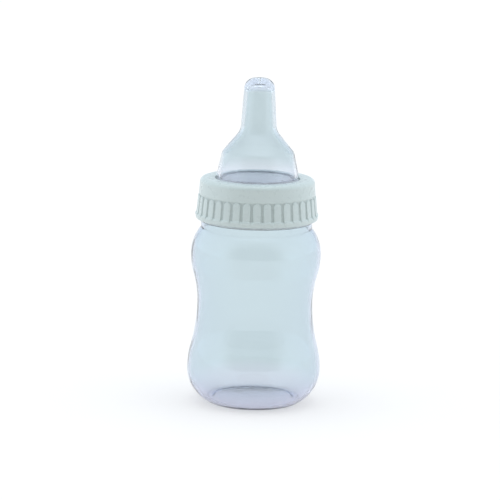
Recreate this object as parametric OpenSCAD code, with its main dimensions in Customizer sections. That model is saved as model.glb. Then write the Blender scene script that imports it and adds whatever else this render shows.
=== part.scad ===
// Feeding bottle: a clear hourglass body, a white ribbed screw collar, a clear nipple
// and a clear crowned disc that closes the mouth under the nipple.
// Millimetres, +Z up, the foot stands on z = 0 and the bottle's axis is the Z axis.

/* [Bottle body] */
// Widest diameter, low on the belly
belly_d = 50.5; // [48:0.1:64]
// How far the waist is drawn in from the belly, on each side
waist_in = 3.45; // [2:0.05:5]
// How far the shoulder is drawn in from the belly, on each side
shoulder_in = 0.7; // [0.2:0.05:1.2]
// Height of the body from the foot to the ledge under the collar
body_h = 69.9; // [58:0.1:90]
// Height of the widest ring of the belly
belly_z = 12.8; // [11:0.1:15]
// Height of the waist
waist_z = 38; // [30:0.1:42]
// Height of the plain neck between the shoulder and the ledge
neck_h = 2.85; // [2:0.05:5]
// Radius of the side outline through the belly
belly_round = 32; // [15:1:45]
// Radius of the side outline just below the shoulder's widest ring
shoulder_round = 28; // [15:1:40]
// Radius of the shoulder's outline up to the neck
shoulder_arc = 15.8; // [13:0.1:19]
// Radius of the heel's outline, between the belly and the foot
heel_arc = 14.3; // [13.2:0.1:16]
// Thickness of the side wall
wall = 1.2; // [0.8:0.1:1.8]
// Thickness of the floor
floor_t = 1.1; // [0.8:0.1:2.4]
// Height of the recess inside the foot ring
foot_lift = 0.4; // [0.3:0.1:0.8]
// Width of the foot ring's flat face
foot_ring = 1.5; // [1:0.1:3]

/* [Neck and thread] */
// Outer diameter of the neck where the thread sits
finish_d = 38; // [31:0.1:39]
// Thickness of the threaded neck's wall
finish_wall = 1.6; // [1.2:0.1:2.4]
// Width of the ledge outside the threaded neck
ledge_w = 2; // [1.8:0.1:2.4]
// Rise of one turn of the thread
thread_pitch = 4; // [3.3:0.1:5]
// Turns of thread
thread_turns = 1.5; // [1.25:0.25:2]
// Height of the thread above the wall it stands on
thread_depth = 1.1; // [0.8:0.05:1.3]
// Width of the neck's thread at its root
thread_w = 2.3; // [1.8:0.05:2.5]
// Plain neck below the thread
land_low = 1.95; // [1.2:0.05:3]
// Plain neck above the thread
land_top = 1.05; // [0.6:0.05:2]

/* [Collar] */
// Thickness of the collar's top
collar_top_t = 1.6; // [1:0.1:2.4]
// Wall of the plain band at its upper edge
band_wall_top = 1.15; // [0.9:0.05:1.6]
// Wall of the plain band at its lower edge
band_wall_low = 1.55; // [1.2:0.05:2]
// Height of the plain band above the ribs
band_h = 6.7; // [4:0.1:8]
// Wall at the upper end of the ribs, over their crests
rib_wall_top = 1.75; // [1.5:0.05:2.4]
// Wall at the lower end of the ribs, over their crests
rib_wall_low = 2.4; // [1.9:0.05:3]
// Height of a rib above the groove beside it
rib_h = 0.5; // [0.2:0.05:0.6]
// Number of ribs
ribs = 36; // [20:1:48]
// Width of a rib
rib_w = 2.8; // [1.2:0.1:3]
// Wall through the bead round the lower edge
bead_wall = 2.65; // [2:0.05:3.4]
// Height of the bead
bead_h = 1.6; // [1:0.1:2.4]
// Radius of the rounded top edge
top_round = 1.9; // [0.8:0.1:2.4]

/* [Nipple] */
// How far the flange that the collar clamps stands out past the neck, on each side
flange_over = 0.1; // [-0.5:0.05:0.15]
// Thickness of the flange
flange_t = 1.8; // [1.2:0.1:2.4]
// Height of the nipple above its flange
nipple_h = 39.3; // [33:0.1:48]
// Width of the flange round the foot of the nipple
flange_w = 3.5; // [3:0.1:5]
// How far the nipple narrows, on each side, up to the top of its skirt
skirt_in = 0.3; // [0.1:0.05:1]
// Height of the skirt above the flange
skirt_h = 3.6; // [2:0.1:5]
// Further narrowing, on each side, up to the dome's edge
dome_in = 1.75; // [1:0.05:3]
// Height of the dome's edge above the flange
dome_h = 11.4; // [9:0.1:13]
// Diameter of the drinking tube at its foot
tube_d = 13.6; // [12:0.1:16]
// Height of the tube's foot above the flange
tube_z = 19.45; // [16:0.1:23]
// Diameter at the tip
tip_d = 11; // [9:0.1:12]
// Radius of the rounded tip
tip_round = 4; // [2.5:0.1:4.4]
// Thickness of the nipple's wall
nipple_wall = 1.2; // [0.8:0.1:1.6]
// Thickness at the tip
tip_t = 2.6; // [1.6:0.1:3.6]
// Diameter of the feed hole
feed_d = 0.8; // [0.4:0.1:1.6]

/* [Sealing disc] */
// How far the disc's edge lies inside the neck's edge
disc_in = 0; // [-0.1:0.05:0.8]
// Thickness of the disc, rim and crown alike
disc_t = 1.2; // [0.8:0.1:2]
// Height of the crown above the rim's upper face
crown_h = 3.3; // [1.5:0.1:4.5]

/* [Clearances] */
// Radial gap between the two threads and the walls they face
thread_gap = 0.3; // [0.2:0.05:0.5]
// Gap between the flanks of the two threads, measured along the axis
thread_play = 0.36; // [0.2:0.02:0.5]
// Gap between the collar's lower edge and the ledge
ledge_gap = 0.3; // [0.2:0.05:0.6]
// Gap between the collar's hole and the nipple
nipple_gap = 0.3; // [0.2:0.05:0.6]
// Gap between the disc's crown and the inside of the nipple
crown_gap = 0.7; // [0.4:0.05:1.2]

/* [Hidden] */

$fn = 96;
ARC_STEP = 7;        // largest turn, in degrees, between two points of an arc
THREAD_STEP = 7.5;   // turn, in degrees, between two sections of a thread
THREAD_SINK = 0.4;   // how deep a thread's root is bedded in its wall
THREAD_LEAD = 30;    // turn, in degrees, over which a thread rises at each end
THREAD_START = 0.4;  // share of its full height at which a thread starts
FLANK = 0.55;        // axial run of a thread's flank for each millimetre of height
BULGE_SHARE = 0.8;   // most of a side's radii that its bulge may take
NECK_FILLET = 0.5;   // radius where the shoulder meets the neck
INNER_FILLET = 0.8;  // radius inside, where the shoulder meets the neck
STEP_ROUND = 0.5;    // radius inside, where the neck narrows to its threaded part
RIM_ROUND = 0.4;     // radius of the rim's edges
LEDGE_ROUND = 0.3;   // radius of the ledge's outer edge
EDGE_ROUND = 0.4;    // radius of the flange's and the disc's edges
BEAD_ROUND = 0.65;   // radius under the bead
BEAD_SLOPE = 0.9;    // height over which the bead runs into the ribs
BAND_STEP = 0.8;     // height over which the ribs' crests run into the plain band
RIB_BED = 0.1;       // how far the ribs' upper ends are bedded in the plain band
MOUTH_ROUND = 0.5;   // radius of the edge of the collar's hole
BORE_CHAMFER = 0.6;  // lead-in at the collar's lower edge
SKIRT_ROUND = 24;    // radius of the nipple's outline at its skirt
DOME_ROUND = 3.75;   // radius of the nipple's outline at the dome's edge
TUBE_ROUND = 6.2;    // radius of the nipple's outline at the tube's foot
CROWN_ROUND = 1.5;   // radius of the crown's edge
OVER = 1;            // how far a cutter runs past what it cuts

belly_r = belly_d / 2;
waist_r = belly_r - waist_in;
shoulder_r = belly_r - shoulder_in;
finish_r = finish_d / 2;
mouth_r = finish_r - finish_wall;
neck_r = finish_r + ledge_w;
neck_in = neck_r - wall;
shoulder_z = body_h - neck_h - neck_rise(0, neck_r, NECK_FILLET);
floor_z = foot_lift + floor_t;
rim_z = body_h + land_low + thread_turns * thread_pitch + thread_w + land_top;
thread_z = body_h + land_low + thread_w / 2;
disc_z = rim_z;
flange_z = disc_z + disc_t;
flange_top = flange_z + flange_t;
collar_top = flange_top + collar_top_t;
collar_z = body_h + ledge_gap;
bore_r = finish_r + thread_depth + thread_gap;
flange_r = finish_r + flange_over;
base_r = flange_r - flange_w;
disc_r = finish_r - disc_in;
hole_r = base_r + nipple_gap;
rib_z = collar_z + bead_h + BEAD_SLOPE;
rib_top = collar_top - band_h;

// ---- outlines, in the plane of radius and height ----

function turned(v, a) = [v.x * cos(a) - v.y * sin(a), v.x * sin(a) + v.y * cos(a)];
function unit(v) = v / norm(v);
function flat(p) = [p.x, p.y];

// Arc about a centre, from one angle to another
function arc(centre, r, from, to) =
    let (n = max(2, ceil(abs(to - from) / ARC_STEP)))
    [for (i = [0:n]) centre + r * [cos(from + (to - from) * i / n), sin(from + (to - from) * i / n)]];

// Arc of radius r that rounds the corner b between a and c
function corner(a, b, c, r) =
    let (u = unit(a - b), w = unit(c - b), half = acos(u * w) / 2)
    let (centre = b + unit(u + w) * r / sin(half), spoke = b + u * r / tan(half) - centre)
    let (turn = (180 - 2 * half) * sign(cross(b - a, c - b)))
    let (n = max(2, ceil(abs(turn) / ARC_STEP)))
    [for (i = [0:n]) centre + turned(spoke, turn * i / n)];

// Outline from corners given as [radius, height, rounding]
function rounded(c) = [for (i = [0:len(c) - 1])
    each c[i][2] > 0 ? corner(flat(c[i - 1]), flat(c[i]), flat(c[i + 1]), c[i][2]) : [flat(c[i])]];

// Normal, to the left, of the line from a to b
function left(a, b) = turned(unit(flat(b) - flat(a)), 90);

// Corner b moved to the left by w, with its rounding kept parallel
function moved(a, b, c, w) =
    let (m = left(a, b), n = left(b, c), p = flat(b) + w * (m + n) / (1 + m * n))
    [p.x, p.y, b[2] - w * sign(cross(flat(b) - flat(a), flat(c) - flat(b)))];

// Two arcs that meet smoothly and run straight up at both ends, from [r, z] a to b.
// The wider end's arc has radius r; the other takes what is left.
function radii(a, b) = (pow(a.x - b.x, 2) + pow(a.y - b.y, 2)) / (2 * abs(a.x - b.x));
function swing(a, b) = asin(abs(b.y - a.y) / radii(a, b));
function bulge(a, b, r) = min(r, BULGE_SHARE * radii(a, b));

// The body's side, inset by w, from the heel's lower end at height z up to the neck of radius r
function heel_turn(w, z) = asin((belly_z - z) / (heel_arc - w));
function neck_turn(w, r, f) =
    acos((r + f - shoulder_r + shoulder_arc) / (shoulder_arc - w + f));
function neck_rise(w, r, f) = (shoulder_arc - w + f) * sin(neck_turn(w, r, f));
function side(w, z, r, f) =
    let (belly = [belly_r, belly_z], waist = [waist_r, waist_z], top = [shoulder_r, shoulder_z])
    let (low = swing(waist, belly), high = swing(waist, top))
    let (low_r = bulge(waist, belly, belly_round), high_r = bulge(waist, top, shoulder_round))
    let (low_w = radii(waist, belly) - low_r, high_w = radii(waist, top) - high_r)
    let (a = neck_turn(w, r, f))
    concat(
        arc([belly_r - heel_arc, belly_z], heel_arc - w, -heel_turn(w, z), 0),
        arc([belly_r - low_r, belly_z], low_r - w, 0, low),
        arc([waist_r + low_w, waist_z], low_w + w, 180 + low, 180),
        arc([waist_r + high_w, waist_z], high_w + w, 180, 180 - high),
        arc([shoulder_r - high_r, shoulder_z], high_r - w, -high, 0),
        arc([shoulder_r - shoulder_arc, shoulder_z], shoulder_arc - w, 0, a),
        arc([r + f, shoulder_z + neck_rise(w, r, f)], f, 180 + a, 180));

// Drops points that lie on the one before them
function distinct(p) = [for (i = [0:len(p) - 1]) if (i == 0 || norm(p[i] - p[i - 1]) > 0.001) p[i]];

module lathe(outline) {
    rotate_extrude($fn = 96)
        polygon(distinct(outline));
}

// ---- thread ----

// Half width of the neck's thread, and of the space the collar's thread fills, at radius r
function neck_half(r) = thread_w / 2 - FLANK * (r - finish_r);
function collar_half(r) = thread_pitch / 2 - thread_play - neck_half(r);

// Share of the full height at step i of n
function lift(i, n) =
    let (lead = THREAD_LEAD / THREAD_STEP)
    THREAD_START + (1 - THREAD_START) * min(1, i / lead, (n - i) / lead);

// Four corners of the thread's section, root and crest given as [radius, half width]
function section(root, crest, share) =
    let (tip = root + (crest - root) * share)
    let (in = root.x < crest.x ? root : tip, out = root.x < crest.x ? tip : root)
    [[in.x, -in.y], [out.x, -out.y], [out.x, out.y], [in.x, in.y]];

// Right-handed thread that starts at height z and angle a
module thread(root, crest, z, a) {
    n = round(thread_turns * 360 / THREAD_STEP);
    points = [for (i = [0:n], p = section(root, crest, lift(i, n)))
        let (t = a + i * THREAD_STEP)
        [p.x * cos(t), p.x * sin(t), z + p.y + thread_pitch * i * THREAD_STEP / 360]];
    sides = [for (i = [0:n - 1], j = [0:3])
        let (k = (j + 1) % 4)
        each [[4 * i + j, 4 * i + k, 4 * i + 4 + j], [4 * i + k, 4 * i + 4 + k, 4 * i + 4 + j]]];
    ends = [[2, 1, 0], [3, 2, 0], [4 * n, 4 * n + 1, 4 * n + 2], [4 * n, 4 * n + 2, 4 * n + 3]];
    polyhedron(points, concat(sides, ends));
}

// ---- pieces ----

foot_r = belly_r - heel_arc + heel_arc * cos(heel_turn(0, 0));

function bottle_outline() = concat(
    [[0, foot_lift]],
    [[foot_r - foot_ring - foot_lift, foot_lift], [foot_r - foot_ring, 0]],
    side(0, 0, neck_r, NECK_FILLET),
    rounded([
        [neck_r, body_h - 2 * LEDGE_ROUND, 0],
        [neck_r, body_h, LEDGE_ROUND],
        [finish_r, body_h, 0],
        [finish_r, rim_z, RIM_ROUND],
        [mouth_r, rim_z, RIM_ROUND],
        [mouth_r, body_h - wall, STEP_ROUND],
        [neck_in, body_h - wall, STEP_ROUND],
        [neck_in, body_h - wall - 2 * STEP_ROUND, 0]]),
    back(side(wall, floor_z, neck_in, INNER_FILLET)),
    [[0, floor_z]]);

function back(p) = [for (i = [len(p) - 1:-1:0]) p[i]];

module bottle() {
    color([0.80, 0.87, 0.91, 0.5]) {
        lathe(bottle_outline());
        thread([finish_r - THREAD_SINK, neck_half(finish_r - THREAD_SINK)],
            [finish_r + thread_depth, neck_half(finish_r + thread_depth)], thread_z, 0);
    }
}

function collar_outline() = rounded([
    [bore_r + BORE_CHAMFER, collar_z, 0],
    [bore_r + bead_wall, collar_z, BEAD_ROUND],
    [bore_r + bead_wall, collar_z + bead_h, BEAD_ROUND],
    [bore_r + rib_wall_low - rib_h, rib_z, 0],
    [bore_r + rib_wall_top - rib_h, rib_top, 0],
    [bore_r + band_wall_low, rib_top + BAND_STEP, 0],
    [bore_r + band_wall_top, collar_top, top_round],
    [hole_r, collar_top, MOUTH_ROUND],
    [hole_r, flange_top, 0],
    [bore_r, flange_top, 0],
    [bore_r, collar_z + BORE_CHAMFER, 0]]);

// Ring that the ribs are cut from, bedded in the collar's wall and in the bead
function rib_outline() = [
    [bore_r + THREAD_SINK, collar_z + bead_h / 2],
    [bore_r + rib_wall_low - rib_h, collar_z + bead_h / 2],
    [bore_r + rib_wall_low, rib_z],
    [bore_r + rib_wall_top, rib_top],
    [bore_r + band_wall_low - RIB_BED, rib_top + BAND_STEP],
    [bore_r + THREAD_SINK, rib_top + BAND_STEP]];

module collar() {
    color([0.93, 0.95, 0.96]) {
        lathe(collar_outline());
        thread([bore_r + THREAD_SINK, collar_half(bore_r + THREAD_SINK)],
            [finish_r + thread_gap, collar_half(finish_r + thread_gap)], thread_z, 180);
        collar_ribs();
    }
}

// Toothed ring that gives the ribs their width
module collar_ribs() {
    half = asin(rib_w / 2 / (bore_r + rib_wall_low));
    intersection() {
        lathe(rib_outline());
        translate([0, 0, collar_z])
            linear_extrude(height = collar_top - collar_z)
                polygon([for (i = [0:ribs - 1], s = [[0, -1], [1, -1], [1, 1], [0, 1]])
                    let (a = 360 * i / ribs + s.y * half, r = bore_r + (s.x == 0 ? THREAD_SINK : bead_wall))
                    r * [sin(a), -cos(a)]]);
    }
}

NIPPLE = [
    [base_r, flange_top, 0],
    [base_r - skirt_in, flange_top + skirt_h, SKIRT_ROUND],
    [base_r - skirt_in - dome_in, flange_top + dome_h, DOME_ROUND],
    [tube_d / 2, flange_top + tube_z, TUBE_ROUND],
    [tip_d / 2, flange_top + nipple_h, tip_round],
    [0, flange_top + nipple_h, 0]];

// The same corners, parallel to the outside and one wall further in
function inner(i) = moved(NIPPLE[i - 1], NIPPLE[i], NIPPLE[i + 1], nipple_wall);
tip_inner = tip_d / 2 - nipple_wall;

function nipple_outline() = concat(
    rounded(concat(
        [[base_r - nipple_wall, flange_z, 0],
        [flange_r, flange_z, EDGE_ROUND],
        [flange_r, flange_top, EDGE_ROUND]],
        NIPPLE)),
    back(rounded([
        [base_r - nipple_wall, flange_top, 0],
        inner(1), inner(2), inner(3),
        [tip_inner, flange_top + nipple_h - tip_t, tip_round - nipple_wall],
        [0, flange_top + nipple_h - tip_t, 0]])));

module nipple() {
    color([0.84, 0.89, 0.89, 0.6])
        difference() {
            lathe(nipple_outline());
            translate([0, 0, flange_top + nipple_h - tip_t - OVER])
                cylinder(d = feed_d, h = tip_t + 2 * OVER, $fn = 24);
        }
}

crown_r = base_r - nipple_wall - crown_gap;
crown_z = flange_z + crown_h;

function disc_outline() = rounded([
    [0, crown_z - disc_t, 0],
    [crown_r - disc_t, crown_z - disc_t, CROWN_ROUND / 2],
    [crown_r - disc_t, disc_z, 0],
    [disc_r, disc_z, EDGE_ROUND],
    [disc_r, flange_z, EDGE_ROUND],
    [crown_r, flange_z, 0],
    [crown_r, crown_z, CROWN_ROUND],
    [0, crown_z, 0]]);

module sealing_disc() {
    color([0.78, 0.82, 0.92, 0.7])
        lathe(disc_outline());
}

bottle();
collar();
nipple();
sealing_disc();
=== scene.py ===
"""Feeding bottle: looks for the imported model. Lengths below are in millimetres; meshes are made in metres."""
import math

import bpy
from mathutils import Matrix, Vector


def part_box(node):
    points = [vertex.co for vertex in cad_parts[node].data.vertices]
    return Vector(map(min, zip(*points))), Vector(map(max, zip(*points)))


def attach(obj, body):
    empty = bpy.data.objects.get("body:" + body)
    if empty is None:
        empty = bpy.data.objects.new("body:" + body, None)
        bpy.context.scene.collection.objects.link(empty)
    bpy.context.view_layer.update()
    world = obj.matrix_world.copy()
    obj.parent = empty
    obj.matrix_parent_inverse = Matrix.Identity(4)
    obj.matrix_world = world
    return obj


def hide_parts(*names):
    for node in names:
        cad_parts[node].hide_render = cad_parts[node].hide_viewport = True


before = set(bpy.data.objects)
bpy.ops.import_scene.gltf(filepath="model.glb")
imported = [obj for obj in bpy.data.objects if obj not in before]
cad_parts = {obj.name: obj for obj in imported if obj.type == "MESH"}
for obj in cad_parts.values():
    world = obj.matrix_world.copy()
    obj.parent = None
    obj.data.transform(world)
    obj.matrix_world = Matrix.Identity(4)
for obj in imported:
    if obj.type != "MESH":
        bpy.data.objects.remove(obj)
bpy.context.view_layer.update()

MM = 0.001


def box_mm(node):
    """A CAD node's lowest and highest corners, in millimetres."""
    low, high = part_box(node)
    return [v / MM for v in low], [v / MM for v in high]


BOTTLE_HIGH = box_mm("bottle")[1]
COLLAR_LOW, COLLAR_HIGH = box_mm("collar")
NIPPLE_LOW, NIPPLE_HIGH = box_mm("nipple")
DISC_LOW, DISC_HIGH = box_mm("sealing_disc")

# ---- sizes that the boxes give ----
BELLY_R = BOTTLE_HIGH[1]
RIM_Z = BOTTLE_HIGH[2]
COLLAR_Z = COLLAR_LOW[2]
COLLAR_TOP = COLLAR_HIGH[2]
BEAD_R = COLLAR_HIGH[1]
FLANGE_R = NIPPLE_HIGH[1]
FLANGE_Z = NIPPLE_LOW[2]
TIP_Z = NIPPLE_HIGH[2]
DISC_R = DISC_HIGH[1]
DISC_Z = DISC_LOW[2]
CROWN_Z = DISC_HIGH[2]

# ---- the bottle's other sizes ----
WALL = 1.2
FLOOR_T = 1.1
FLOOR_RISE = 0.1  # how much higher the floor is on the axis, inside and below
FOOT_LIFT = 0.4
FOOT_RING = 1.5
FOOT_SLOPE = 1.2  # width of the slope from the foot ring up to the floor
FOOT_SLOPE_ROUND = 0.8
FLOOR_FLAT = 2.0  # where the floor's rise starts, inside its crease
CREASE_ROUND = 0.3
BELLY_Z = 12.8
WAIST_R = BELLY_R - 3.45
WAIST_Z = 38.0
SHOULDER_R = BELLY_R - 0.7
BELLY_ROUND = 32.0
SHOULDER_ROUND = 28.0
SHOULDER_ARC = 15.8
HEEL_ARC = 14.3
LEDGE_GAP = 0.3
LEDGE_Z = COLLAR_Z - LEDGE_GAP
LEDGE_ROUND = 0.3
LEDGE_STEP = 0.5  # how far below the ledge the neck steps in
FINISH_R = DISC_R
FINISH_ROUND = 0.25
MOUTH_R = FINISH_R - 1.6
LIP_ROUND = 0.4
NECK_R = FINISH_R + 2.0
NECK_H = 2.85
NECK_FILLET = 0.5
NECK_FILLET_IN = 0.8
STEP_ROUND = 0.5
EDGE_ROUND = 0.5

# ---- the thread's sizes ----
THREAD_PITCH = 4.0
THREAD_TURNS = 1.5
THREAD_DEPTH = 1.1
THREAD_GAP = 0.3
THREAD_PLAY = 0.36
THREAD_W = 2.3
THREAD_Z = LEDGE_Z + 1.95 + THREAD_W / 2
THREAD_FROM = math.pi / 2  # where the neck's thread starts, from the front
THREAD_LEAD = 30  # degrees over which a thread rises at each end
FLANK = 0.55

# ---- the collar's other sizes ----
BORE_R = FINISH_R + THREAD_DEPTH + THREAD_GAP
TOP_T = 1.6
TOP_ROUND = 1.9
FLANGE_TOP = COLLAR_TOP - TOP_T
LEAD_IN = 0.6
BEAD_H = 1.6
BEAD_ROUND = 0.65
BEAD_TOP_ROUND = 0.6
BAND_WALL_LOW = 1.55
BAND_WALL_TOP = 1.15
BAND_STEP = 0.8
RIBS = 36
RIB_HALF = 1.4
RIB_H = 0.5
RIB_WALL_LOW = 2.4
RIB_WALL_TOP = 1.75
RIB_TOP = COLLAR_TOP - 6.7
RIB_LOW = COLLAR_Z + 2.5
RIB_CROWN = 0.12  # share of a rib's height that its rounded top takes

# ---- the nipple's and the disc's other sizes ----
BASE_R = FLANGE_R - 3.5
HOLE_R = BASE_R + 0.3
NIPPLE_WALL = 1.2
SKIRT_IN = 0.3
SKIRT_H = 3.6
SKIRT_ROUND = 24
DOME_IN = 2.05
DOME_H = 11.4
DOME_ROUND = 3.75
TUBE_R = 6.8
TUBE_Z = 19.45
TUBE_ROUND = 6.2
TIP_R = 5.5
TIP_ROUND = 4.0
TIP_T = 2.6
FEED_R = 0.4
FEED_ROUND = 0.15
DISC_T = FLANGE_Z - DISC_Z
CROWN_R = BASE_R - NIPPLE_WALL - 0.7
CROWN_ROUND = 1.5
SEAT = 0.03  # how far a seated face stays off the face under it

# ---- the studio, in metres ----
FLOOR_HALF = 40.0
FLOOR_Z = -0.0002
FLOOR_GLOW = 0.55  # the floor's own light, against 1 for white
TENT_DIM = 0.2  # strength of the tent behind the camera
TENT_BRIGHT = 0.95  # strength all round
TENT_TOP = 0.9  # what the top adds
TENT_SIDES = 0.4  # what the sides add
FRONT_ENDS = (-0.85, -0.35)  # Y of a direction where the dim front ends
WARM_ENDS = (-0.85, -0.4)  # Y of a direction where the front's warmer light ends
TOP_ENDS = (0.7, 0.98)  # Z of a direction where the top starts
SIDE_ENDS = (0.45, 0.95)  # X of a direction where a side starts
SENSOR = 36  # millimetres, as is the lens
LENS = 209.7
DISTANCE = 1.1
CLIP_END = 100
RISE = 10.6  # how far the camera looks down, in degrees
ROLL = 1.25
AIM_Z = 0.062
SLIDE_X = -0.00227
SLIDE_UP = -0.00397


# ---- outlines in the plane of radius and height ----

def arc(centre, r, start, end, step=3.0):
    """Points of an arc between two angles in degrees."""
    n = max(2, math.ceil(abs(end - start) / step))
    turns = [math.radians(start + (end - start) * i / n) for i in range(n + 1)]
    return [(centre[0] + r * math.cos(t), centre[1] + r * math.sin(t)) for t in turns]


def corner(a, b, c, r, step=9.0):
    """Arc of radius r that rounds the corner b between a and c."""
    a, b, c = Vector(a), Vector(b), Vector(c)
    u, w = (a - b).normalized(), (c - b).normalized()
    half = math.acos(max(-1.0, min(1.0, u.dot(w)))) / 2
    centre = b + (u + w).normalized() * r / math.sin(half)
    spoke = b + u * r / math.tan(half) - centre
    side = 1 if (b - a).cross(c - b) > 0 else -1
    turn = side * (math.pi - 2 * half)
    n = max(3, math.ceil(abs(math.degrees(turn)) / step))
    points = []
    for i in range(n + 1):
        t = turn * i / n
        points.append((centre.x + spoke.x * math.cos(t) - spoke.y * math.sin(t),
                       centre.y + spoke.x * math.sin(t) + spoke.y * math.cos(t)))
    return points


def rounded(corners, closed=False):
    """Outline from corners given as (radius, height, rounding)."""
    points, n = [], len(corners)
    for i, (r, z, rounding) in enumerate(corners):
        if rounding > 0:
            before, after = corners[i - 1][:2], corners[(i + 1) % n][:2]
            points += corner(before, (r, z), after, rounding)
        else:
            points.append((r, z))
    if closed:
        points.append(points[0])
    return points


def offset(a, b, c, w):
    """Corner b moved w to the left of the line a, b, c, with its rounding kept parallel."""
    u = (Vector(b[:2]) - Vector(a[:2])).normalized()
    v = (Vector(c[:2]) - Vector(b[:2])).normalized()
    m, n = Vector((-u.y, u.x)), Vector((-v.y, v.x))
    p = Vector(b[:2]) + w * (m + n) / (1 + m.dot(n))
    return (p.x, p.y, b[2] - math.copysign(w, u.cross(v)))


def subdivided(points, step, low, high):
    """The outline with extra points where its height lies between low and high."""
    out = [points[0]]
    for (r0, z0), (r1, z1) in zip(points, points[1:]):
        inside = low <= (z0 + z1) / 2 <= high
        n = max(1, math.ceil(math.hypot(r1 - r0, z1 - z0) / step)) if inside else 1
        out += [(r0 + (r1 - r0) * i / n, z0 + (z1 - z0) * i / n) for i in range(1, n + 1)]
    return out


def swing(a, b):
    """Radii's sum, and turn in degrees, of two arcs that join upright ends a and b smoothly."""
    dr, dz = abs(a[0] - b[0]), abs(a[1] - b[1])
    total = (dr * dr + dz * dz) / (2 * dr)
    return total, math.degrees(math.asin(dz / total))


def neck_turn(w, neck, fillet):
    """Turn in degrees of the shoulder's arc, inset by w, up to the fillet at the neck."""
    return math.degrees(math.acos((neck + fillet - SHOULDER_R + SHOULDER_ARC) / (SHOULDER_ARC - w + fillet)))


def neck_rise(w, neck, fillet):
    """Height from the shoulder's widest ring up to the neck's foot."""
    return (SHOULDER_ARC - w + fillet) * math.sin(math.radians(neck_turn(w, neck, fillet)))


SHOULDER_Z = LEDGE_Z - NECK_H - neck_rise(0, NECK_R, NECK_FILLET)


def side(w, low_z, neck, fillet):
    """The body's side, inset by w, from height low_z up to the neck's radius."""
    low_sum, low_turn = swing((WAIST_R, WAIST_Z), (BELLY_R, BELLY_Z))
    high_sum, high_turn = swing((WAIST_R, WAIST_Z), (SHOULDER_R, SHOULDER_Z))
    low_waist, high_waist = low_sum - BELLY_ROUND, high_sum - SHOULDER_ROUND
    heel = math.degrees(math.asin((BELLY_Z - low_z) / (HEEL_ARC - w)))
    top = neck_turn(w, neck, fillet)
    parts = [
        arc((BELLY_R - HEEL_ARC, BELLY_Z), HEEL_ARC - w, -heel, 0),
        arc((BELLY_R - BELLY_ROUND, BELLY_Z), BELLY_ROUND - w, 0, low_turn),
        arc((WAIST_R + low_waist, WAIST_Z), low_waist + w, 180 + low_turn, 180),
        arc((WAIST_R + high_waist, WAIST_Z), high_waist + w, 180, 180 - high_turn),
        arc((SHOULDER_R - SHOULDER_ROUND, SHOULDER_Z), SHOULDER_ROUND - w, -high_turn, 0),
        arc((SHOULDER_R - SHOULDER_ARC, SHOULDER_Z), SHOULDER_ARC - w, 0, top),
        arc((neck + fillet, SHOULDER_Z + neck_rise(w, neck, fillet)), fillet, 180 + top, 180, 12),
    ]
    return [p for part in parts for p in part]


def distinct(points, least=0.004):
    """The outline without points that lie on the one before them."""
    out = [points[0]]
    for p in points[1:]:
        if math.dist(p, out[-1]) > least:
            out.append(p)
    return out


# ---- meshes ----

def lathe(name, outline, angles, shape=None):
    """Turns an outline round the axis. A closed outline gives a ring, and an open one ends on the axis.
    shape(r, z, angle) may move a point in or out."""
    outline = distinct(outline)
    closed = math.dist(outline[0], outline[-1]) < 0.004
    if closed:
        outline.pop()
    verts, rings = [], []
    for r, z in outline:
        first = len(verts)
        if r < 0.001:
            verts.append((0, 0, z * MM))
        else:
            for a in angles:
                q = (shape(r, z, a) if shape else r) * MM
                verts.append((q * math.sin(a), -q * math.cos(a), z * MM))
        rings.append(range(first, len(verts)))
    n, faces = len(angles), []
    for low, high in zip(rings, rings[1:] + (rings[:1] if closed else [])):
        for i in range(n):
            j = (i + 1) % n
            if len(low) == 1:
                faces.append((low[0], high[j], high[i]))
            elif len(high) == 1:
                faces.append((low[i], low[j], high[0]))
            else:
                faces.append((low[i], low[j], high[j], high[i]))
    mesh = bpy.data.meshes.new(name)
    mesh.from_pydata(verts, [], faces)
    mesh.validate()
    mesh.shade_smooth()
    mesh.set_sharp_from_angle(angle=math.radians(38))
    obj = bpy.data.objects.new(name, mesh)
    bpy.context.scene.collection.objects.link(obj)
    return obj


def even_angles(count):
    """Angles all round, evenly spaced."""
    return [2 * math.pi * i / count for i in range(count)]


def smooth(x, low, high):
    """Smooth step from 0 at low to 1 at high."""
    t = max(0.0, min(1.0, (x - low) / (high - low)))
    return t * t * (3 - 2 * t)


def thread_height(z, a, start, first_z, root_half, crest_half):
    """Share of its full height that a right-handed thread has at height z and angle a."""
    best = 0.0
    for turn in range(3):
        s = ((a - start) % (2 * math.pi)) / (2 * math.pi) + turn
        if s > THREAD_TURNS:
            continue
        off = abs(z - first_z - THREAD_PITCH * s)
        lead = smooth(min(s, THREAD_TURNS - s) * 360, 0, THREAD_LEAD)
        best = max(best, lead * (1 - smooth(off, crest_half, root_half)))
    return best


def neck_half(r):
    """Half the width of the neck's thread at radius r."""
    return THREAD_W / 2 - FLANK * (r - FINISH_R)


def collar_half(r):
    """Half the width of the collar's thread at radius r, in the space beside the neck's thread."""
    return THREAD_PITCH / 2 - THREAD_PLAY - neck_half(r)


# ---- bottle ----

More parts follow.
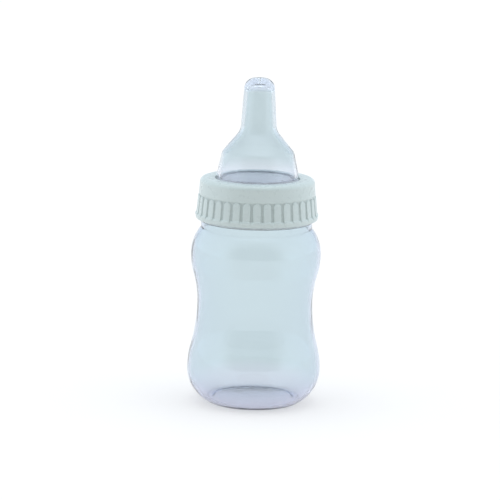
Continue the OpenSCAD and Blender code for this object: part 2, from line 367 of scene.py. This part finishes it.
def bottle_outline():
    """Up the outside from the foot, over the rim, and down the inside to the floor."""
    foot_r = BELLY_R - HEEL_ARC + math.sqrt(HEEL_ARC ** 2 - BELLY_Z ** 2)
    floor_z = FOOT_LIFT + FLOOR_T
    crease_r = BELLY_R - HEEL_ARC + math.sqrt((HEEL_ARC - WALL) ** 2 - (BELLY_Z - floor_z) ** 2)
    neck_in, step_z = NECK_R - WALL, LEDGE_Z - LEDGE_STEP
    outside = side(0, 0, NECK_R, NECK_FILLET)[1:]
    inside = side(WALL, floor_z, neck_in, NECK_FILLET_IN)[1:]
    foot = rounded([
        (0, FOOT_LIFT + FLOOR_RISE, 0), (foot_r - FOOT_RING - FOOT_SLOPE, FOOT_LIFT, FOOT_SLOPE_ROUND),
        (foot_r - FOOT_RING, 0, EDGE_ROUND), (foot_r, 0, EDGE_ROUND), (*outside[0], 0)])
    neck = rounded([
        (NECK_R, LEDGE_Z - 0.8, 0), (NECK_R, LEDGE_Z, LEDGE_ROUND), (FINISH_R, LEDGE_Z, FINISH_ROUND),
        (FINISH_R, RIM_Z - SEAT, LIP_ROUND), (MOUTH_R, RIM_Z - SEAT, LIP_ROUND),
        (MOUTH_R, step_z, STEP_ROUND), (neck_in, step_z, STEP_ROUND), (neck_in, step_z - 1.0, 0)])
    floor = rounded([
        (*inside[0], 0), (crease_r, floor_z, CREASE_ROUND), (crease_r - FLOOR_FLAT, floor_z, 0),
        (0, floor_z + FLOOR_RISE, 0)])
    line = foot + outside[1:] + neck + inside[:0:-1] + floor
    return subdivided(line, 0.14, LEDGE_Z + 0.4, RIM_Z - 0.5)


def bottle_shape(r, z, a):
    """Adds the thread outside the neck."""
    if LEDGE_Z + 0.3 < z < RIM_Z - 0.3 and r > FINISH_R - 0.05:
        halves = neck_half(FINISH_R), neck_half(FINISH_R + THREAD_DEPTH)
        return r + THREAD_DEPTH * thread_height(z, a, THREAD_FROM, THREAD_Z, *halves)
    return r


def make_bottle():
    return lathe("bottle_body", bottle_outline(), even_angles(240), bottle_shape)


# ---- collar ----

def collar_outline():
    """Round the collar's wall and top. The ribs and the thread are added by collar_shape."""
    line = rounded([
        (BORE_R + LEAD_IN, COLLAR_Z, 0.15), (BEAD_R, COLLAR_Z, BEAD_ROUND),
        (BEAD_R, COLLAR_Z + BEAD_H, BEAD_TOP_ROUND),
        (BORE_R + RIB_WALL_LOW - RIB_H, RIB_LOW, 0.3), (BORE_R + RIB_WALL_TOP - RIB_H, RIB_TOP, 0.25),
        (BORE_R + BAND_WALL_LOW, RIB_TOP + BAND_STEP, 0.3), (BORE_R + BAND_WALL_TOP, COLLAR_TOP, TOP_ROUND),
        (HOLE_R, COLLAR_TOP, EDGE_ROUND), (HOLE_R, FLANGE_TOP, 0.2), (BORE_R, FLANGE_TOP, 0.3),
        (BORE_R, COLLAR_Z + LEAD_IN, 0.1)], closed=True)
    return subdivided(line, 0.2, COLLAR_Z + 0.9, FLANGE_TOP - 0.4)


def rib_share(r, z, a):
    """Share of its full height that a rib has here: a bar with an arched top and soft edges."""
    pitch = 2 * math.pi / RIBS
    across = abs((a + pitch / 2) % pitch - pitch / 2) * r
    arch_z = RIB_TOP + 0.2 - RIB_HALF
    inside = RIB_HALF - (across if z < arch_z else math.hypot(across, z - arch_z))
    crown = 1 - RIB_CROWN + RIB_CROWN * math.sqrt(max(0.0, 1 - (across / RIB_HALF) ** 2))
    return crown * smooth(inside, -0.14, 0.16) * smooth(z, COLLAR_Z + 1.1, RIB_LOW - 0.2)


def collar_shape(r, z, a):
    """Adds the ribs outside and the thread inside."""
    if r > BORE_R + 0.9:
        return r + RIB_H * rib_share(r, z, a) if z < RIB_TOP + 0.5 else r
    if z < FLANGE_TOP - 0.5 and abs(r - BORE_R) < 0.05:
        crest_r = FINISH_R + THREAD_GAP
        halves = collar_half(BORE_R), collar_half(crest_r)
        start = THREAD_FROM + math.pi
        return r - (BORE_R - crest_r) * thread_height(z, a, start, THREAD_Z, *halves)
    return r


def collar_angles():
    """Angles that lie close together at the ribs' edges."""
    pitch = 2 * math.pi / RIBS
    shares = [0, 0.1, 0.2, 0.26, 0.3, 0.33, 0.355, 0.38, 0.41, 0.45, 0.5]
    local = [-s for s in shares[:0:-1]] + shares[:-1]
    return [pitch * (i + s) for i in range(RIBS) for s in local]


def make_collar():
    return lathe("collar_ring", collar_outline(), collar_angles(), collar_shape)


# ---- nipple and sealing disc ----

NIPPLE_LINE = [
    (BASE_R, FLANGE_TOP, 0), (BASE_R - SKIRT_IN, FLANGE_TOP + SKIRT_H, SKIRT_ROUND),
    (BASE_R - DOME_IN, FLANGE_TOP + DOME_H, DOME_ROUND), (TUBE_R, FLANGE_TOP + TUBE_Z, TUBE_ROUND),
    (TIP_R, TIP_Z, TIP_ROUND), (FEED_R, TIP_Z, 0)]


def nipple_outline():
    """The nipple's outside and, one wall further in, its inside."""
    top, low = FLANGE_TOP - SEAT, FLANGE_Z + SEAT
    inner = [offset(*NIPPLE_LINE[i - 1:i + 2], NIPPLE_WALL) for i in (3, 2, 1)]
    inner_r = BASE_R - NIPPLE_WALL
    inner_tip_z = TIP_Z - TIP_T
    foot = [
        (inner_r, low, 0.3), (FLANGE_R, low, EDGE_ROUND), (FLANGE_R, top, EDGE_ROUND), (BASE_R, top, 0.25)]
    tip = [
        (FEED_R, TIP_Z, FEED_ROUND), (FEED_R, inner_tip_z, FEED_ROUND),
        (TIP_R - NIPPLE_WALL, inner_tip_z, TIP_ROUND - NIPPLE_WALL)]
    return rounded(foot + NIPPLE_LINE[1:-1] + tip + inner, closed=True)


def make_nipple():
    return lathe("nipple_teat", nipple_outline(), even_angles(192))


def disc_outline():
    """The rim that is clamped, and the hollow crown that stands up in the nipple's foot."""
    low, rim = DISC_Z + SEAT, DISC_Z + DISC_T - SEAT
    inner_r, inner_z = CROWN_R - DISC_T, CROWN_Z - DISC_T
    return rounded([
        (0, inner_z, 0), (inner_r, inner_z, CROWN_ROUND / 2), (inner_r, low, 0.3), (DISC_R, low, LIP_ROUND),
        (DISC_R, rim, LIP_ROUND), (CROWN_R, rim, 0.3), (CROWN_R, CROWN_Z, CROWN_ROUND), (0, CROWN_Z, 0)])


def make_disc():
    return lathe("seal_disc", disc_outline(), even_angles(192))


# ---- materials ----

def material(name, color, roughness, **sockets):
    """A Principled material. Returns the material, its nodes, links and shader."""
    mat = bpy.data.materials.new(name)
    mat.use_nodes = True
    nodes, links = mat.node_tree.nodes, mat.node_tree.links
    shader = next(n for n in nodes if n.type == "BSDF_PRINCIPLED")
    shader.inputs["Base Color"].default_value = (*color, 1)
    shader.inputs["Roughness"].default_value = roughness
    for socket, value in sockets.items():
        shader.inputs[socket.replace("_", " ")].default_value = value
    return mat, nodes, links, shader


def add_noise(nodes, links, scale, detail=3.0, stretch=(1, 1, 1)):
    """Noise that is fixed to the piece, in its own metres."""
    place = nodes.new("ShaderNodeTexCoord")
    mapping = nodes.new("ShaderNodeMapping")
    mapping.inputs["Scale"].default_value = stretch
    links.new(place.outputs["Object"], mapping.inputs["Vector"])
    tex = nodes.new("ShaderNodeTexNoise")
    tex.inputs["Scale"].default_value = scale
    tex.inputs["Detail"].default_value = detail
    links.new(mapping.outputs["Vector"], tex.inputs["Vector"])
    return tex.outputs["Fac"]


def ramp(nodes, links, source, low, high):
    """A number that runs from low to high with the source."""
    node = nodes.new("ShaderNodeMapRange")
    node.inputs["From Min"].default_value = 0.3
    node.inputs["From Max"].default_value = 0.7
    node.inputs["To Min"].default_value = low
    node.inputs["To Max"].default_value = high
    links.new(source, node.inputs["Value"])
    return node.outputs["Result"]


def math_node(nodes, links, operation, a, b):
    """One sum on two inputs, each a socket or a number."""
    node = nodes.new("ShaderNodeMath")
    node.operation = operation
    for socket, value in zip(node.inputs, (a, b)):
        if isinstance(value, (int, float)):
            socket.default_value = value
        else:
            links.new(value, socket)
    return node.outputs["Value"]


def map_range(nodes, links, source, ends, values):
    """A smooth step of the source, from values[0] at ends[0] to values[1] at ends[1]."""
    node = nodes.new("ShaderNodeMapRange")
    node.interpolation_type = "SMOOTHSTEP"
    node.inputs["From Min"].default_value, node.inputs["From Max"].default_value = ends
    node.inputs["To Min"].default_value, node.inputs["To Max"].default_value = values
    links.new(source, node.inputs["Value"])
    return node.outputs["Result"]


def blend_colors(nodes, links, source, a, b):
    """A colour that runs from a to b with the source, each a socket or three numbers."""
    node = nodes.new("ShaderNodeMix")
    node.data_type = "RGBA"
    links.new(source, node.inputs["Factor"])
    for name, value in (("A", a), ("B", b)):
        if isinstance(value, tuple):
            node.inputs[name].default_value = (*value, 1)
        else:
            links.new(value, node.inputs[name])
    return node.outputs["Result"]


def bump(nodes, links, shader, source, depth):
    """Fine relief, with its depth in metres."""
    node = nodes.new("ShaderNodeBump")
    node.inputs["Distance"].default_value = depth
    links.new(source, node.inputs["Height"])
    links.new(node.outputs["Normal"], shader.inputs["Normal"])


def object_parts(nodes, links):
    """The piece's own X, Y and Z, in metres."""
    place = nodes.new("ShaderNodeTexCoord")
    parts = nodes.new("ShaderNodeSeparateXYZ")
    links.new(place.outputs["Object"], parts.inputs["Vector"])
    return parts.outputs


def clear_plastic(name, pale, deep, roughness, ior, absorb, density, clear=1.0, zones=()):
    """Clear moulded plastic: an even tint at its faces, and a deeper one where it is thick.
    A zone is (colour, clearness, heights): it grows from the first height to the second, and fades
    from the third to the last."""
    mat, nodes, links, shader = material(name, pale, roughness, Transmission_Weight=clear, IOR=ior)
    tint = add_noise(nodes, links, 45.0, 2.0, (1, 1, 0.5))
    color = blend_colors(nodes, links, ramp(nodes, links, tint, 0, 1), pale, deep)
    for zone_color, zone_clear, heights in zones:
        z = object_parts(nodes, links)["Z"]
        start, full, fade, end = [h * MM for h in heights]
        rise = map_range(nodes, links, z, (start, full), (0, 1))
        fall = map_range(nodes, links, z, (fade, end), (1, 0))
        share = math_node(nodes, links, "MULTIPLY", rise, fall)
        color = blend_colors(nodes, links, share, color, zone_color)
        lost = math_node(nodes, links, "MULTIPLY", share, 1 - zone_clear)
        clear = math_node(nodes, links, "SUBTRACT", clear, lost)
        links.new(clear, shader.inputs["Transmission Weight"])
    links.new(color, shader.inputs["Base Color"])
    haze = add_noise(nodes, links, 180.0, 3.0)
    links.new(ramp(nodes, links, haze, roughness * 0.6, roughness * 1.6), shader.inputs["Roughness"])
    bump(nodes, links, shader, add_noise(nodes, links, 90.0, 2.0, (1, 1, 0.6)), 0.00012)
    volume = nodes.new("ShaderNodeVolumeAbsorption")
    volume.inputs["Color"].default_value = (*absorb, 1)
    volume.inputs["Density"].default_value = density
    out = next(n for n in nodes if n.type == "OUTPUT_MATERIAL")
    links.new(volume.outputs["Volume"], out.inputs["Volume"])
    return mat


def body_plastic():
    """The bottle's plastic: paler at the foot, as painted light that lifts the shade under the bottle, and hazy
    at the ledge.
    """
    # Painted light: the foot's paler tint lifts the shade that falls under the bottle.
    foot = ((1.0, 0.985, 1.0), 0.95, (-2, -1, 3, 12))
    ledge = ((0.9, 0.95, 0.95), 0.3, (LEDGE_Z - 0.7, LEDGE_Z - 0.2, LEDGE_Z + 0.3, LEDGE_Z + 0.9))
    return clear_plastic(
        "clear_body", (0.838, 0.897, 0.869), (0.830, 0.891, 0.863), roughness=0.02, ior=1.42,
        absorb=(0.70, 0.76, 0.95), density=240, zones=[foot, ledge])


def nipple_plastic():
    """The nipple's plastic: paler in the dome, as painted light that lifts the shade inside the collar seen
    through it, and slightly hazy in the collar's hole and at the tip.
    """
    # Painted light: the dome's paler tint lifts the shade seen through its foot, down in the collar.
    dome = ((0.97, 0.975, 1.0), 0.97, (FLANGE_Z - 2, FLANGE_Z - 1, FLANGE_TOP + 1.5, FLANGE_TOP + 10))
    hole = ((0.95, 0.96, 1.0), 0.4, (FLANGE_TOP - 0.3, FLANGE_TOP, COLLAR_TOP - 0.3, COLLAR_TOP + 0.6))
    tip = ((0.95, 0.97, 0.98), 0.85, (TIP_Z - 5.5, TIP_Z - 3, TIP_Z + 1, TIP_Z + 2))
    return clear_plastic(
        "clear_nipple", (0.772, 0.832, 0.834), (0.762, 0.822, 0.824), roughness=0.05, ior=1.4,
        absorb=(0.72, 0.78, 0.94), density=90, zones=[dome, hole, tip])


def disc_plastic():
    """The disc's plastic: a milky lavender."""
    return clear_plastic(
        "clear_disc", (0.95, 0.955, 1.0), (0.94, 0.945, 1.0), roughness=0.35, ior=1.3,
        absorb=(0.66, 0.70, 0.95), density=60, clear=0.1)


def groove_shade_share(nodes, links):
    """Mask of the painted shade in the grooves: 1 on the ribs' crests and the plain band, and 0 down in the
    grooves. The ribs lean in as they rise.
    """
    parts = object_parts(nodes, links)
    squares = [math_node(nodes, links, "MULTIPLY", parts[axis], parts[axis]) for axis in "XY"]
    radius = math_node(nodes, links, "SQRT", math_node(nodes, links, "ADD", *squares), 0)
    slope = (RIB_WALL_LOW - RIB_WALL_TOP) / (RIB_TOP - RIB_LOW)
    fall = math_node(nodes, links, "MULTIPLY", parts["Z"], slope)
    upright = math_node(nodes, links, "ADD", radius, fall)
    crest = (BORE_R + RIB_WALL_LOW + slope * RIB_LOW) * MM
    on_rib = map_range(nodes, links, upright, (crest - RIB_H * MM, crest - 0.25 * RIB_H * MM), (0, 1))
    above = map_range(nodes, links, parts["Z"], (RIB_TOP * MM, (RIB_TOP + 0.5) * MM), (0, 1))
    return math_node(nodes, links, "MAXIMUM", on_rib, above)


def white_plastic():
    """White moulded plastic, with a faint grain, a soft gloss and painted shade that darkens the grooves."""
    mat, nodes, links, shader = material("white_plastic", (0.585, 0.66, 0.65), 0.3)
    mottle = ramp(nodes, links, add_noise(nodes, links, 120.0, 4.0), 0, 1)
    white = blend_colors(nodes, links, mottle, (0.575, 0.65, 0.64), (0.595, 0.67, 0.66))
    # Painted shade: the grooves get a darker colour, standing in for the shade that falls in them.
    color = blend_colors(nodes, links, groove_shade_share(nodes, links), (0.49, 0.555, 0.545), white)
    links.new(color, shader.inputs["Base Color"])
    gloss = add_noise(nodes, links, 420.0, 3.0)
    links.new(ramp(nodes, links, gloss, 0.24, 0.36), shader.inputs["Roughness"])
    bump(nodes, links, shader, add_noise(nodes, links, 1500.0, 3.0), 0.00002)
    return mat


def floor_white():
    """A matt floor that glows a little, as a light table does, so that it stays white round the bottle."""
    mat, nodes, links, shader = material(
        "studio_floor", (0.45, 0.43, 0.41), 0.9, Specular_IOR_Level=0.1,
        Emission_Color=(0.96, 0.97, 1.0, 1), Emission_Strength=FLOOR_GLOW)
    mottle = ramp(nodes, links, add_noise(nodes, links, 3.0), 0, 1)
    color = blend_colors(nodes, links, mottle, (0.445, 0.425, 0.405), (0.455, 0.435, 0.415))
    links.new(color, shader.inputs["Base Color"])
    return mat


# ---- studio ----

def make_floor():
    """A wide floor just under the bottle's foot."""
    verts = [(FLOOR_HALF * x, FLOOR_HALF * y, FLOOR_Z) for x, y in ((-1, -1), (1, -1), (1, 1), (-1, 1))]
    mesh = bpy.data.meshes.new("studio_floor")
    mesh.from_pydata(verts, [], [(0, 1, 2, 3)])
    obj = bpy.data.objects.new("studio_floor", mesh)
    bpy.context.scene.collection.objects.link(obj)
    obj.data.materials.append(floor_white())


def make_world():
    """A light tent: brightest above, pale at the sides and the back, and dim in front, where one looks in."""
    world = bpy.data.worlds.new("light_tent")
    bpy.context.scene.world = world
    world.use_nodes = True
    nodes, links = world.node_tree.nodes, world.node_tree.links
    back = next(n for n in nodes if n.type == "BACKGROUND")
    place = nodes.new("ShaderNodeTexCoord")
    parts = nodes.new("ShaderNodeSeparateXYZ")
    links.new(place.outputs["Generated"], parts.inputs["Vector"])
    tent = map_range(nodes, links, parts.outputs["Y"], FRONT_ENDS, (TENT_DIM, TENT_BRIGHT))
    above = map_range(nodes, links, parts.outputs["Z"], TOP_ENDS, (0, TENT_TOP))
    sideways = math_node(nodes, links, "ABSOLUTE", parts.outputs["X"], 0)
    sides = map_range(nodes, links, sideways, SIDE_ENDS, (0, TENT_SIDES))
    total = math_node(nodes, links, "ADD", tent, math_node(nodes, links, "ADD", above, sides))
    links.new(total, back.inputs["Strength"])
    cool = map_range(nodes, links, parts.outputs["Y"], WARM_ENDS, (0, 1))
    links.new(blend_colors(nodes, links, cool, (1.0, 1.0, 0.92), (0.92, 1.0, 1.07)), back.inputs["Color"])


def make_camera():
    """A long lens that looks down a little at the front."""
    data = bpy.data.cameras.new("camera")
    cam = bpy.data.objects.new("camera", data)
    bpy.context.scene.collection.objects.link(cam)
    data.sensor_width = SENSOR
    data.lens = LENS
    data.clip_end = CLIP_END
    rise = math.radians(RISE)
    back = Vector((0, -math.cos(rise), math.sin(rise)))
    up = Vector((0, math.sin(rise), math.cos(rise)))
    place = Vector((SLIDE_X, 0, AIM_Z)) + up * SLIDE_UP + back * DISTANCE
    turn = back.to_track_quat("Z", "Y").to_matrix() @ Matrix.Rotation(math.radians(ROLL), 3, "Z")
    cam.matrix_world = Matrix.Translation(place) @ turn.to_4x4()
    bpy.context.scene.camera = cam
    bpy.context.scene.view_settings.view_transform = "Standard"


# ---- the object ----

def finish_piece(obj, node, body, mat):
    """Gives a piece its material, hides its CAD node, and ties the piece to its body."""
    obj.data.materials.append(mat)
    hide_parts(node)
    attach(obj, body)


make_camera()
make_world()
make_floor()
finish_piece(make_bottle(), "bottle", "bottle", body_plastic())
finish_piece(make_collar(), "collar", "collar", white_plastic())
finish_piece(make_nipple(), "nipple", "nipple", nipple_plastic())
finish_piece(make_disc(), "sealing_disc", "nipple", disc_plastic())
